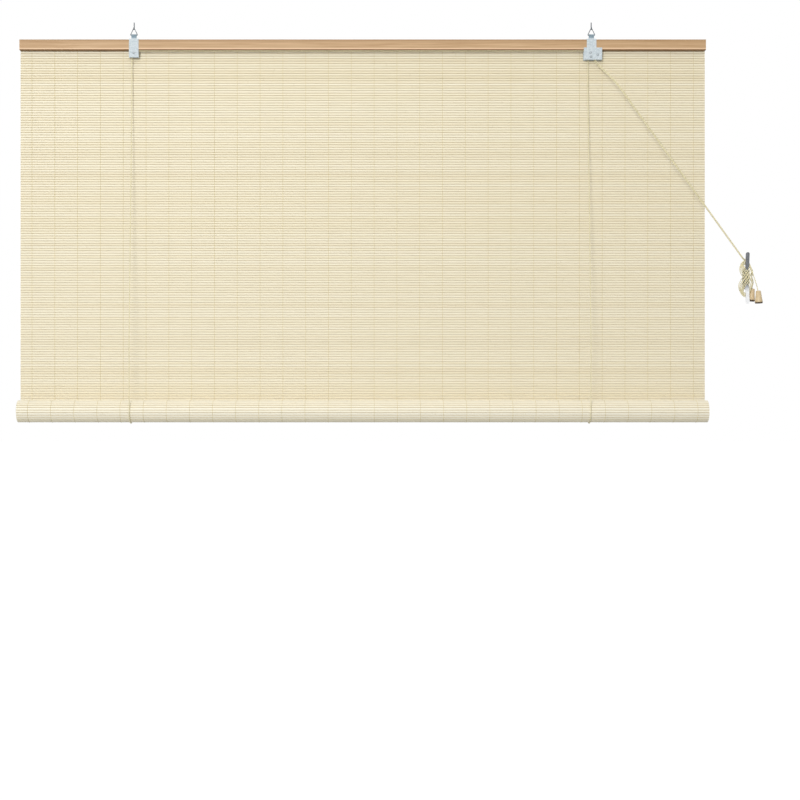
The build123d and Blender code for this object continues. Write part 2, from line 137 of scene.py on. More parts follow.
def add_node(
    tree: Tree,
    kind: str,
    settings: Optional[dict[str, Setting]] = None,
    inputs: Optional[dict[Union[str, int], Setting]] = None,
    output: Union[str, int] = 0,
) -> Optional[Socket]:
    """Add a node with its settings and links.

    Args:
        tree: Tree that takes the node.
        kind: Identifier of the kind of node.
        settings: Properties of the node.
        inputs: Value, output socket or list of output sockets for each input, by name or number.
        output: Name or number of the output that is wanted.

    Returns:
        The wanted output, or None from a node at the end of its tree.
    """
    made = tree.nodes.new(kind)
    for name, value in (settings or {}).items():
        setattr(made, name, value)
    for key, value in (inputs or {}).items():
        sources = value if isinstance(value, list) else [value]
        for source in sources:
            if isinstance(source, Socket):
                tree.links.new(source, made.inputs[key])
            else:
                made.inputs[key].default_value = source
    return made.outputs[output] if made.outputs else None


def metres(points: Sequence[Point]) -> list[Point]:
    """Turn points in millimetres to metres."""
    return [(x * MM, y * MM, z * MM) for x, y, z in points]


def new_object(name: str, mesh: Mesh) -> Thing:
    """Put a mesh into the scene.

    Args:
        name: Name of the piece.
        mesh: Its mesh, already in place.

    Returns:
        The new object, at the origin.
    """
    mesh.name = name
    made = bpy.data.objects.new(name, mesh)
    bpy.context.scene.collection.objects.link(made)
    return made


def skinned(name: str, made: bmesh.types.BMesh, rings: Sequence[Sequence[bmesh.types.BMVert]]) -> Mesh:
    """Join rings of points by faces and read them back as a mesh.

    Args:
        name: Name of the mesh.
        made: Points, and any faces that close the ends.
        rings: Rings of equally many points each, or of one point on the axis.

    Returns:
        The mesh, with its faces looking out.
    """
    count = max(len(ring) for ring in rings)
    for first, second in zip(rings, rings[1:]):
        for i in range(count):
            j = (i + 1) % count
            spots = ((first, i), (second, i), (second, j), (first, j))
            # A ring of one point gives it twice, and the face is then a triangle
            around = [ring[k % len(ring)] for ring, k in spots]
            made.faces.new(list(dict.fromkeys(around)))
    bmesh.ops.recalc_face_normals(made, faces=made.faces)
    mesh = bpy.data.meshes.new(name)
    made.to_mesh(mesh)
    made.free()
    return mesh


def drawn(
    name: str, bend: Bend, lines: Sequence[Sequence[Point]], radius: float = 0.0, closed: bool = False
) -> Mesh:
    """Draw lines through points and read them back as a mesh.

    Args:
        name: Name of the mesh.
        bend: How the lines go through their points.
        lines: Lines of points in millimetres.
        radius: Radius of the wire in millimetres, or 0 for bare lines.
        closed: True where each line is a loop.

    Returns:
        The mesh of all lines.
    """
    data = bpy.data.curves.new(name, "CURVE")
    data.dimensions = "3D"
    data.resolution_u = CURVE_STEPS
    data.bevel_depth = radius * MM
    data.bevel_resolution = WIRE_ROUNDING
    data.use_fill_caps = True
    for line in lines:
        spline = data.splines.new(bend.value)
        spline.points.add(len(line) - 1)
        for target, point in zip(spline.points, metres(line)):
            target.co = (*point, 1.0)
        spline.use_cyclic_u = closed
        if bend is Bend.SOFT:
            spline.order_u = CURVE_ORDER
            spline.use_endpoint_u = True
    holder = bpy.data.objects.new(name, data)
    bpy.context.scene.collection.objects.link(holder)
    graph = bpy.context.evaluated_depsgraph_get()
    mesh = bpy.data.meshes.new_from_object(holder.evaluated_get(graph))
    bpy.data.objects.remove(holder)
    return mesh


class Recipe:
    """Geometry Nodes tree with named inputs for its sizes."""

    KINDS = {int: "NodeSocketInt", float: "NodeSocketFloat", tuple: "NodeSocketVector"}

    def __init__(self, name: str, sizes: dict[str, Size]) -> None:
        """Start a tree.

        Args:
            name: Name of the tree and of the piece that it makes.
            sizes: Sizes by name: whole numbers are counts, and triples are places or steps.
        """
        self.name = name
        self.sizes = sizes
        self.tree = bpy.data.node_groups.new(name, "GeometryNodeTree")
        face = self.tree.interface
        face.new_socket("Geometry", in_out="INPUT", socket_type="NodeSocketGeometry")
        self.sockets: dict[str, str] = {}
        for label, value in sizes.items():
            made = face.new_socket(label, in_out="INPUT", socket_type=self.KINDS[type(value)])
            self.sockets[label] = made.identifier
        face.new_socket("Geometry", in_out="OUTPUT", socket_type="NodeSocketGeometry")
        self.given = self.node("NodeGroupInput").node

    def size(self, label: str) -> Socket:
        """Socket that gives a named size, or the mesh that the tree starts from."""
        return self.given.outputs[label]

    def node(
        self,
        kind: str,
        settings: Optional[dict[str, Setting]] = None,
        inputs: Optional[dict[Union[str, int], Setting]] = None,
        output: Union[str, int] = 0,
    ) -> Optional[Socket]:
        """Add a node to this tree."""
        return add_node(self.tree, kind, settings, inputs, output)

    def make(
        self, result: Socket, material: Material, source: Optional[Mesh] = None
    ) -> Thing:
        """Close the tree and turn what it makes into a plain mesh.

        Args:
            result: Socket with the finished geometry.
            material: Finish of the piece.
            source: Mesh that the tree starts from, if it needs one.

        Returns:
            The new piece.
        """
        real = self.node("GeometryNodeRealizeInstances", None, {"Geometry": result})
        dressed = self.node("GeometryNodeSetMaterial", None, {"Geometry": real, "Material": material})
        self.node("NodeGroupOutput", None, {"Geometry": dressed})
        start = new_object(self.name + "_start", source or bpy.data.meshes.new(self.name + "_start"))
        modifier = start.modifiers.new(self.name, "NODES")
        modifier.node_group = self.tree
        for label, value in self.sizes.items():
            if isinstance(value, tuple):
                for axis in range(3):
                    modifier[self.sockets[label]][axis] = value[axis]
            else:
                modifier[self.sockets[label]] = value
        graph = bpy.context.evaluated_depsgraph_get()
        mesh = bpy.data.meshes.new_from_object(start.evaluated_get(graph))
        bpy.data.objects.remove(start)
        return new_object(self.name, mesh)


def start_material(name: str) -> tuple[Material, Tree]:
    """Start a procedural material with an empty tree.

    Args:
        name: Name of the finish.

    Returns:
        The material and its tree.
    """
    material = bpy.data.materials.new(name)
    material.use_nodes = True
    material.node_tree.nodes.clear()
    return material, material.node_tree


@dataclass(frozen=True)
class Layer:
    """Colour over a ground: none of it while a value is at its start, its whole share from its end on."""

    value: Socket
    colour: str
    share: float = 1.0
    start: float = 0.0
    end: float = 1.0
    fade: Fade = Fade.EVEN


@dataclass(frozen=True)
class Coat:
    """What a finish lays on its surface: a ground, layers over it, and relief where it has any."""

    ground: str
    layers: Sequence[Layer]
    surface: dict[str, Setting]
    relief: Optional[Socket] = None
    relief_strength: float = 0.0
    relief_depth: float = 0.0


@dataclass(frozen=True)
class Finish:
    """Procedural finish of one stuff."""

    name: str

    def coat(self, tree: Tree, place: Socket) -> Coat:
        """Draw the patterns of this finish."""
        raise NotImplementedError

    def build(self) -> Material:
        """Lay the colours over each other in turn and close the surface.

        Returns:
            The material.
        """
        material, tree = start_material(self.name)
        coat = self.coat(tree, add_node(tree, "ShaderNodeTexCoord", None, None, "Object"))
        colour: Setting = linear(coat.ground)
        for layer in coat.layers:
            share = add_node(
                tree, "ShaderNodeMapRange", {"interpolation_type": layer.fade.value},
                {"Value": layer.value, "From Min": layer.start, "From Max": layer.end,
                 "To Max": layer.share},
            )
            colour = add_node(
                tree, "ShaderNodeMix", {"data_type": "RGBA"},
                {0: share, 6: colour, 7: linear(layer.colour)}, 2,
            )
        surface = {"Base Color": colour, **coat.surface}
        if coat.relief is not None:
            surface["Normal"] = add_node(
                tree, "ShaderNodeBump", None,
                {"Strength": coat.relief_strength, "Distance": coat.relief_depth, "Height": coat.relief},
            )
        shaded = add_node(tree, "ShaderNodeBsdfPrincipled", None, surface)
        add_node(tree, "ShaderNodeOutputMaterial", None, {"Surface": shaded})
        return material


@dataclass(frozen=True)
class SplitBamboo(Finish):
    """Split bamboo: every slat its own pale straw tone, fibres along it, and painted shade darkening its
    long sides where the slats meet.

    Real fibres are a few tenths of a millimetre wide. They are drawn coarser, so that they show.
    """

    pale: str = "#F6EFD8"
    straw: str = "#F1E7CA"
    deep: str = "#CFBB8C"
    joint: str = "#B89F6C"
    seam_shade: str = "#AD9560"
    rare_share: float = 0.22
    rare_from: float = 0.7
    streak_share: float = 0.3
    streak_from: float = 0.42
    streak_to: float = 0.78
    joint_share: float = 0.16
    seam_shade_share: float = 0.5
    seam_shade_from: float = 0.4
    fibre_length: float = 45.0 * MM
    fibres_across: float = 2.4
    fibre_detail: float = 5.0
    fibre_break_up: float = 0.62
    joint_spacing: float = 720.0 * MM
    joint_drift: float = 7.0
    joint_width: float = 2.0 * MM
    relief_strength: float = 0.35
    relief_depth: float = 0.15 * MM
    roughness: float = 0.52

    def coat(self, tree: Tree, place: Socket) -> Coat:
        """Draw on each slat by its number and by the place across it.

        Args:
            tree: Tree of the material.
            place: Socket with the place on the object.

        Returns:
            Tones, streaks, joints and painted seam shade over the pale ground.
        """
        slat = add_node(tree, "ShaderNodeAttribute", {"attribute_name": "slat"}, None, "Fac")
        side = add_node(tree, "ShaderNodeAttribute", {"attribute_name": "across"}, None, "Fac")
        across = add_node(tree, "ShaderNodeMath", {"operation": "ABSOLUTE"}, {0: side})
        along = add_node(tree, "ShaderNodeSeparateXYZ", None, {0: place})
        draw = add_node(
            tree, "ShaderNodeTexWhiteNoise", {"noise_dimensions": "1D"}, {"W": slat}, "Color"
        )
        tint, chance, shift = add_node(tree, "ShaderNodeSeparateColor", None, {0: draw}).node.outputs
        spot = add_node(tree, "ShaderNodeCombineXYZ", None, {0: along, 1: side})
        scale = (1.0 / self.fibre_length, self.fibres_across, 1.0)
        stretched = add_node(tree, "ShaderNodeMapping", None, {"Vector": spot, "Scale": scale})
        fibre = add_node(
            tree, "ShaderNodeTexNoise", {"noise_dimensions": "4D"},
            {"Vector": stretched, "W": slat, "Scale": 1.0, "Detail": self.fibre_detail,
             "Roughness": self.fibre_break_up},
        )
        moved = add_node(
            tree, "ShaderNodeMath", {"operation": "MULTIPLY_ADD"},
            {0: shift, 1: self.joint_drift * self.joint_spacing, 2: along},
        )
        near = add_node(
            tree, "ShaderNodeMath", {"operation": "PINGPONG"}, {0: moved, 1: self.joint_spacing / 2.0}
        )
        layers = (
            Layer(tint, self.straw),
            Layer(chance, self.deep, self.rare_share, self.rare_from),
            Layer(fibre, self.deep, self.streak_share, self.streak_from, self.streak_to),
            Layer(near, self.joint, self.joint_share, self.joint_width, 0.0),
            # Painted shade: darker towards both long sides of each slat, where the slats meet
            Layer(across, self.seam_shade, self.seam_shade_share, self.seam_shade_from),
        )
        surface = {"Roughness": self.roughness}
        return Coat(self.pale, layers, surface, fibre, self.relief_strength, self.relief_depth)


@dataclass(frozen=True)
class Wood(Finish):
    """Softwood with fine grain drawn out along one axis."""

    pale: str
    dark: str
    grain_size: Point
    pale_from: float = 0.3
    pale_to: float = 0.72
    grain_detail: float = 6.0
    grain_break_up: float = 0.6
    grain_waver: float = 0.5
    relief_strength: float = 0.25
    relief_depth: float = 0.1 * MM
    roughness: float = 0.55

    def marks(self, tree: Tree, place: Socket) -> list[Layer]:
        """Layers over the grain, which differ from wood to wood."""
        raise NotImplementedError

    def coat(self, tree: Tree, place: Socket) -> Coat:
        """Draw the grain and then the marks over it.

        Args:
            tree: Tree of the material.
            place: Socket with the place on the object.

        Returns:
            Pale grain and marks over the dark ground.
        """
        scale = tuple(1.0 / size for size in self.grain_size)
        stretched = add_node(tree, "ShaderNodeMapping", None, {"Vector": place, "Scale": scale})
        grain = add_node(
            tree, "ShaderNodeTexNoise", None,
            {"Vector": stretched, "Scale": 1.0, "Detail": self.grain_detail,
             "Roughness": self.grain_break_up, "Distortion": self.grain_waver},
        )
        layers = [Layer(grain, self.pale, start=self.pale_from, end=self.pale_to)]
        layers += self.marks(tree, place)
        surface = {"Roughness": self.roughness}
        return Coat(self.dark, layers, surface, grain, self.relief_strength, self.relief_depth)


@dataclass(frozen=True)
class PlanedWood(Wood):
    """Planed softwood: fine grain along the batten, a darker band at its top, a painted highlight along its
    lower arris and painted shade below that, which runs on under the batten.
    """

    name: str = "planed_softwood"
    pale: str = "#D0AE86"
    dark: str = "#B08A5F"
    grain_size: Point = (130.0 * MM, 3.2 * MM, 3.2 * MM)
    band: str = "#9A7448"
    top: float = -29.0 * MM
    band_height: float = 9.0 * MM
    band_share: float = 0.55
    lip_highlight: str = "#EBC9A4"
    lip_highlight_from: float = -46.6 * MM
    lip_highlight_to: float = -48.8 * MM
    lip_highlight_share: float = 0.8
    under: str = "#80592F"
    under_from: float = -50.1 * MM
    under_to: float = -50.8 * MM
    under_share: float = 0.95

    def marks(self, tree: Tree, place: Socket) -> list[Layer]:
        """Band, painted highlight and painted shade, each by its height.

        Args:
            tree: Tree of the material.
            place: Socket with the place on the object.

        Returns:
            The three layers.
        """
        height = add_node(tree, "ShaderNodeSeparateXYZ", None, {0: place}, "Z")
        return [
            Layer(height, self.band, self.band_share, self.top - self.band_height, self.top, Fade.SOFT),
            # Painted highlight: a pale line along the lower arris, where it catches the light
            Layer(height, self.lip_highlight, self.lip_highlight_share, self.lip_highlight_from, self.lip_highlight_to, Fade.SOFT),
            # Painted shade: dark over the lowest strip of the front and over the underside, where the
            # batten's own shade falls
            Layer(height, self.under, self.under_share, self.under_from, self.under_to, Fade.SOFT),
        ]


@dataclass(frozen=True)
class TurnedWood(Wood):
    """Turned softwood: upright grain, satin, with painted shade darkening its lower rim and the hollow under
    it.
    """

    name: str = "turned_softwood"
    pale: str = "#E9D6B2"
    dark: str = "#CBB083"
    grain_size: Point = (1.6 * MM, 1.6 * MM, 30.0 * MM)
    rim_shade: str = "#33220F"

    def marks(self, tree: Tree, place: Socket) -> list[Layer]:
        """Painted shade on the lower rim and in the hollow, where the mesh is marked for it."""
        rim = add_node(tree, "ShaderNodeAttribute", {"attribute_name": "rim"}, None, "Fac")
        return [Layer(rim, self.rim_shade)]


@dataclass(frozen=True)
class Plated(Finish):
    """Plated steel: crystal patches that differ in tone and gloss, and a tint that sets in by height towards
    one end.
    """

    bright: str
    dull: str
    patch: float
    low_roughness: float
    high_roughness: float
    metallic: float
    height_tint: str
    height_tint_from: float
    height_tint_to: float
    height_tint_share: float

    def coat(self, tree: Tree, place: Socket) -> Coat:
        """Draw the patches and the tinted end.

        Args:
            tree: Tree of the material.
            place: Socket with the place on the object.

        Returns:
            Dull patches and the height tint over the bright ground.
        """
        height = add_node(tree, "ShaderNodeSeparateXYZ", None, {0: place}, "Z")
        cells = add_node(
            tree, "ShaderNodeTexVoronoi", None, {"Vector": place, "Scale": 1.0 / self.patch}, "Color"
        )
        tone, shine, _ = add_node(tree, "ShaderNodeSeparateColor", None, {0: cells}).node.outputs
        gloss = add_node(
            tree, "ShaderNodeMapRange", None,
            {"Value": shine, "To Min": self.low_roughness, "To Max": self.high_roughness},
        )
        layers = (
            Layer(tone, self.dull),
            # Tint that sets in by height; on the cleat it is painted reflection over the lower horn
            Layer(height, self.height_tint, self.height_tint_share, self.height_tint_from, self.height_tint_to, Fade.SOFT),
        )
        return Coat(self.bright, layers, {"Roughness": gloss, "Metallic": self.metallic})


@dataclass(frozen=True)
class SpunCotton(Finish):
    """Spun cotton: matt cream, with short fibres a shade darker and a soft sheen.

    Real fibres are hundredths of a millimetre wide. They are drawn coarser, so that they show.
    """

    cream: str
    shade: str
    shade_share: float = 0.45
    shade_from: float = 0.4
    shade_to: float = 0.75
    fibre: float = 1.1 * MM
    fibre_detail: float = 4.0
    roughness: float = 0.9
    sheen: float = 0.25

    def coat(self, tree: Tree, place: Socket) -> Coat:
        """Draw the fibres.

        Args:
            tree: Tree of the material.
            place: Socket with the place on the object.

        Returns:
            Shaded fibres over the cream ground.
        """
        fuzz = add_node(
            tree, "ShaderNodeTexNoise", None,
            {"Vector": place, "Scale": 1.0 / self.fibre, "Detail": self.fibre_detail},
        )
        layers = [Layer(fuzz, self.shade, self.shade_share, self.shade_from, self.shade_to)]
        return Coat(self.cream, layers, {"Roughness": self.roughness, "Sheen Weight": self.sheen})


@dataclass(frozen=True)
class MouldedNylon(Finish):
    """Moulded nylon: off-white and slightly waxy, with faint flow marks and a fine mould texture.

    Real mould texture is finer than a tenth of a millimetre. It is drawn coarser, so that it shows.
    """

    name: str = "moulded_nylon"
    colour: str = "#E8E4D8"
    flow: str = "#DCD7C8"
    flow_size: float = 3.0 * MM
    grit: float = 0.4 * MM
    relief_strength: float = 0.2
    relief_depth: float = 0.05 * MM
    roughness: float = 0.42

    def coat(self, tree: Tree, place: Socket) -> Coat:
        """Draw the flow marks and the mould texture.

        Args:
            tree: Tree of the material.
            place: Socket with the place on the object.

        Returns:
            Flow marks over the plain ground, with the texture as relief.
        """
        marks, grain = (
            add_node(tree, "ShaderNodeTexNoise", None, {"Vector": place, "Scale": 1.0 / size})
            for size in (self.flow_size, self.grit)
        )
        surface = {"Roughness": self.roughness}
        layers = [Layer(marks, self.flow)]
        return Coat(self.colour, layers, surface, grain, self.relief_strength, self.relief_depth)


class Finishes:
    """All finishes of the blind, built once."""

    def __init__(self) -> None:
        """Build every finish."""
        self.bamboo = SplitBamboo("split_bamboo").build()
        # Paler copy of the bamboo for the roll: painted light, standing in for the extra light that the roll
        # catches, with lighter painted seam shade
        self.bamboo_painted_light = SplitBamboo(
            "split_bamboo_painted_light", pale="#FEFAEB", straw="#FBF5E0", deep="#DDCB9C", seam_shade="#B9A167",
        ).build()
        self.rail = PlanedWood().build()
        self.tassel = TurnedWood().build()
        self.zinc = Plated(
            "zinc_plated_sheet", bright="#D3DBDF", dull="#BBC6CC", patch=2.2 * MM,
            low_roughness=0.66, high_roughness=0.78, metallic=0.12,
            height_tint="#8298A5", height_tint_from=-27.0 * MM, height_tint_to=-24.5 * MM, height_tint_share=0.85,
        ).build()
        self.rivet = Plated(
            "zinc_plated_rivet", bright="#BAC2C6", dull="#A9B1B5", patch=1.5 * MM,
            low_roughness=0.42, high_roughness=0.52, metallic=0.2,
            height_tint="#8D959A", height_tint_from=-56.0 * MM, height_tint_to=-70.0 * MM, height_tint_share=0.3,
        ).build()
        self.wire = Plated(
            "zinc_plated_wire", bright="#6F757A", dull="#565B5F", patch=1.2 * MM,
            low_roughness=0.34, high_roughness=0.46, metallic=0.7,
            height_tint="#4C565D", height_tint_from=-10.0 * MM, height_tint_to=-19.0 * MM, height_tint_share=0.7,
        ).build()
        # Painted reflection: the dark ground stands for the dark above that the upper part reflects, and the
        # near-white tint over the lower horn for the pale floor that it reflects
        self.cleat = Plated(
            "nickel_plated_casting", bright="#7B7E82", dull="#6A6D71", patch=3.5 * MM,
            low_roughness=0.25, high_roughness=0.38, metallic=0.85,
            height_tint="#ECEDEE", height_tint_from=-564.0 * MM, height_tint_to=-584.0 * MM, height_tint_share=0.92,
        ).build()
        self.cord = SpunCotton("spun_cotton_cord", "#F9F0CA", "#A89A5C", shade_share=0.5).build()
        self.warp = SpunCotton("spun_cotton_warp", "#DCCD98", "#BBA970").build()
        self.nylon = MouldedNylon().build()


@dataclass
class Mat:
    """Woven mat: a hanging half behind the headrail and a wound half at its foot."""

    length: float = 1500.0 * MM
    slat_height: float = 5.25 * MM
    thickness: float = 2.0 * MM
    corner: float = 0.7 * MM
    segments: int = 6
    pitch: float = 5.4 * MM
    hanging_slats: int = 148
    foot: float = -840.7 * MM
    middle_y: float = 7.0 * MM
    rail_bottom: float = -52.0 * MM
    roll_y: float = -17.2 * MM
    roll_z: float = -841.0 * MM
    outer_radius: float = 24.05 * MM
    turn_step: float = 2.456 * MM
    spiral_steps: int = 64
    wound_slats: int = 132
    shown_slats: int = 30
    columns: int = 30
    column_spacing: float = 50.0 * MM
    thread: float = 0.36 * MM
    thread_sides: int = 3
    thread_lift: float = 1.2 * MM
    thread_shoulder: float = 0.8
    loose: float = 0.12 * MM
    sway: float = 0.3 * MM
    sway_length: float = 380.0 * MM
    sway_detail: float = 1.0
    seed: int = 4

    def slat_mesh(self) -> Mesh:
        """Build one slat with its long edges eased.

        Returns:
            A closed slat along X, centred on the origin, with its place across as an attribute.
        """
        half_y, half_z, ease = self.thickness / 2.0, self.slat_height / 2.0, self.corner
        section = [
            (-half_y, ease - half_z), (-half_y, half_z - ease), (ease - half_y, half_z),
            (half_y - ease, half_z), (half_y, half_z - ease), (half_y, ease - half_z),
            (half_y - ease, -half_z), (ease - half_y, -half_z),
        ]
        made = bmesh.new()
        rings = []
        for step in range(self.segments + 1):
            x = self.length * (step / self.segments - 0.5)
            rings.append([made.verts.new((x, y, z)) for y, z in section])
        made.faces.new(rings[0])
        made.faces.new(rings[-1])
        mesh = skinned("slat", made, rings)
        across = mesh.attributes.new("across", "FLOAT", "POINT")
        across.data.foreach_set("value", [v.co.z / half_z for v in mesh.vertices])
        return mesh

    def thread_mesh(self) -> Mesh:
        """Draw the closed line of a thread round one slat, pinched in at the gaps above and below it.

        Returns:
            The line, as edges without faces.
        """
        high, out = self.pitch / 2.0, self.thread_lift
        low = high * self.thread_shoulder
        corners = [(0.0, high), (out, low), (out, -low), (0.0, -high), (-out, -low), (-out, low)]
        mesh = bpy.data.meshes.new("thread")
        edges = [(i, (i + 1) % len(corners)) for i in range(len(corners))]
        mesh.from_pydata([(0.0, y, z) for y, z in corners], edges, [])
        return mesh

    def wound_sizes(self, slats: int) -> dict[str, Size]:
        """Sizes of the wound half.

        Args:
            slats: Number of slats, counted from the outer end.

        Returns:
            Sizes by name.
        """
        run = slats * self.pitch
        pull_in = self.turn_step / TURN
        inner = math.sqrt(self.outer_radius ** 2 - 2.0 * pull_in * run)
        return {
            "Slats": slats, "Turns": (self.outer_radius - inner) / self.turn_step,
            "Outer Radius": self.outer_radius, "Inner Radius": inner,
            "Roll Place": (0.0, self.roll_y, self.roll_z), "First": self.pitch / 2.0,
            "Last": run - self.pitch / 2.0,
        }

    def sway_sizes(self) -> dict[str, Size]:
        """Sizes of the slats' sway, half as far in depth as in height.

        Returns:
            Sizes by name, the same on both halves.
        """
        high = self.sway / 2.0
        deep = high / 2.0
        return {
            "Sway Low": (0.0, -deep, -high), "Sway High": (0.0, deep, high),
            "Sway Scale": 1.0 / self.sway_length,
        }

    def marked(self, tree: Recipe, slats: Socket) -> Socket:
        """Mark each slat with its number and let it sway a little along its length.

        Args:
            tree: Tree that holds the slats.
            slats: Socket with the placed slats.

        Returns:
            Socket with the slats as one swaying mesh.
        """
        number = tree.node("GeometryNodeInputIndex")
        stored = tree.node(
            "GeometryNodeStoreNamedAttribute", {"data_type": "FLOAT", "domain": "INSTANCE"},
            {"Geometry": slats, "Name": "slat", "Value": number},
        )
        real = tree.node("GeometryNodeRealizeInstances", None, {"Geometry": stored})
        slat = tree.node("GeometryNodeInputNamedAttribute", {"data_type": "FLOAT"}, {"Name": "slat"})
        wave = tree.node(
            "ShaderNodeTexNoise", {"noise_dimensions": "4D"},
            {"W": slat, "Scale": tree.size("Sway Scale"), "Detail": self.sway_detail}, "Color",
        )
        shift = tree.node(
            "ShaderNodeMapRange", {"data_type": "FLOAT_VECTOR"},
            {6: wave, 9: tree.size("Sway Low"), 10: tree.size("Sway High")}, "Vector",
        )
        return tree.node("GeometryNodeSetPosition", None, {"Geometry": real, "Offset": shift})

    def hanging(self, material: Material) -> Thing:
        """Stack the slats of the hanging half.

        Args:
            material: Finish of the slats.

        Returns:
            The slats as one piece.
        """
        sizes = {
            "Slats": self.hanging_slats, "First Slat": (0.0, self.middle_y, self.foot + self.pitch / 2.0),
            "Slat Step": (0.0, 0.0, self.pitch), "Loose Front": (0.0, -self.loose, 0.0),
            "Loose Back": (0.0, self.loose, 0.0), "Seed": self.seed,
        }
        tree = Recipe("hanging_slats", sizes | self.sway_sizes())
        line = tree.node(
            "GeometryNodeMeshLine", None,
            {"Count": tree.size("Slats"), "Start Location": tree.size("First Slat"),
             "Offset": tree.size("Slat Step")},
        )
        loose = tree.node(
            "FunctionNodeRandomValue", {"data_type": "FLOAT_VECTOR"},
            {0: tree.size("Loose Front"), 1: tree.size("Loose Back"), "Seed": tree.size("Seed")},
        )
        uneven = tree.node("GeometryNodeSetPosition", None, {"Geometry": line, "Offset": loose})
        placed = tree.node(
            "GeometryNodeInstanceOnPoints", None, {"Points": uneven, "Instance": tree.size("Geometry")}
        )
        return tree.make(self.marked(tree, placed), material, self.slat_mesh())

    def on_spiral(self, tree: Recipe, instance: Socket) -> Socket:
        """Set one piece on each slat's place round the roll, turned with the mat.

        Args:
            tree: Tree that holds the roll.
            instance: Socket with the piece, upright as on the hanging half.

        Returns:
            Socket with all of them.
        """
        spiral = tree.node(
            "GeometryNodeCurveSpiral", None,
            {"Resolution": self.spiral_steps, "Rotations": tree.size("Turns"), "Height": 0.0,
             "Start Radius": tree.size("Outer Radius"), "End Radius": tree.size("Inner Radius")},
        )
        turned = tree.node(
            "GeometryNodeTransform", None,
            {"Geometry": spiral, "Translation": tree.size("Roll Place"),
             "Rotation": (QUARTER, 0.0, QUARTER)},
        )
        trimmed = tree.node(
            "GeometryNodeTrimCurve", {"mode": "LENGTH"},
            {0: turned, 4: tree.size("First"), 5: tree.size("Last")},
        )
        points = tree.node(
            "GeometryNodeCurveToPoints", {"mode": "COUNT"}, {"Curve": trimmed, "Count": tree.size("Slats")}
        )
        upright = tree.node(
            "FunctionNodeAlignRotationToVector", {"axis": "Z", "pivot_axis": "X"},
            {"Vector": points.node.outputs["Tangent"]},
        )
        return tree.node(
            "GeometryNodeInstanceOnPoints", None,
            {"Points": points, "Instance": instance, "Rotation": upright},
        )

    def wound(self, material: Material) -> Thing:
        """Wind the slats of the lower half on a spiral.

        Args:
            material: Finish of the slats.

        Returns:
            The slats as one piece.
        """
        tree = Recipe("wound_slats", self.wound_sizes(self.wound_slats) | self.sway_sizes())
        placed = self.on_spiral(tree, tree.size("Geometry"))
        return tree.make(self.marked(tree, placed), material, self.slat_mesh())

    def thread_loop(self, tree: Recipe) -> Socket:
        """Give the thread round one slat its thickness.

        Args:
            tree: Tree that starts from the thread's line.

        Returns:
            Socket with the loop.
        """
        line = tree.node("GeometryNodeMeshToCurve", None, {0: tree.size("Geometry")})
        ring = tree.node(
            "GeometryNodeCurvePrimitiveCircle", None,
            {"Resolution": self.thread_sides, "Radius": tree.size("Thread")},
        )
        return tree.node("GeometryNodeCurveToMesh", None, {"Curve": line, "Profile Curve": ring})

    def hanging_warp(self, material: Material) -> Thing:
        """Tie every hanging slat with a thread at each warp column.

        Args:
            material: Finish of the thread.

        Returns:
            All warp threads of the hanging half as one piece.
        """
        high = (self.hanging_slats - 1) * self.pitch
        low = self.foot + self.pitch / 2.0
        sizes = {
            "Slats": self.hanging_slats, "Columns": self.columns, "Height": high,
            "Span": (self.columns - 1) * self.column_spacing,
            "Middle": (0.0, self.middle_y, low + high / 2.0), "Thread": self.thread,
        }
        tree = Recipe("hanging_warp", sizes)
        grid = tree.node(
            "GeometryNodeMeshGrid", None,
            {"Size X": tree.size("Span"), "Size Y": tree.size("Height"),
             "Vertices X": tree.size("Columns"), "Vertices Y": tree.size("Slats")},
        )
        upright = tree.node(
            "GeometryNodeTransform", None,
            {"Geometry": grid, "Translation": tree.size("Middle"), "Rotation": (QUARTER, 0.0, 0.0)},
        )
        placed = tree.node(
            "GeometryNodeInstanceOnPoints", None, {"Points": upright, "Instance": self.thread_loop(tree)}
        )
        return tree.make(placed, material, self.thread_mesh())

    def wound_warp(self, material: Material) -> Thing:
        """Tie the slats that show on the roll with a thread at each warp column.

        Args:
            material: Finish of the thread.

        Returns:
            The warp threads on the roll as one piece.
        """
        half_span = (self.columns - 1) * self.column_spacing / 2.0
        sizes = {
            "Columns": self.columns, "First Column": (-half_span, 0.0, 0.0),
            "Column Step": (self.column_spacing, 0.0, 0.0), "Thread": self.thread,
        }
        tree = Recipe("wound_warp", self.wound_sizes(self.shown_slats) | sizes)
        column = self.on_spiral(tree, self.thread_loop(tree))
        columns = tree.node(
            "GeometryNodeMeshLine", None,
            {"Count": tree.size("Columns"), "Start Location": tree.size("First Column"),
             "Offset": tree.size("Column Step")},
        )
        placed = tree.node("GeometryNodeInstanceOnPoints", None, {"Points": columns, "Instance": column})
        return tree.make(placed, material, self.thread_mesh())

    def build(self, finishes: Finishes) -> None:
        """Build both halves and set them on their bodies.

        Args:
            finishes: All finishes.
        """
        top = (0.0, self.middle_y, self.rail_bottom)
        bottom = (0.0, self.middle_y, self.foot)
        slats = self.hanging(finishes.bamboo)
        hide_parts("hanging_mat")
        warp = self.hanging_warp(finishes.warp)
        for piece in (slats, warp):
            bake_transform(piece, Body.FRAME.value, Body.SLING.value, start=top, end=bottom)
        rolled = self.wound(finishes.bamboo_painted_light)
        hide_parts("rolled_mat")
        rolled_warp = self.wound_warp(finishes.warp)
        for piece in (rolled, rolled_warp):
            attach(piece, Body.ROLL.value)
        LOG.info("mat: %d hanging slats, %d wound slats", self.hanging_slats, self.wound_slats)


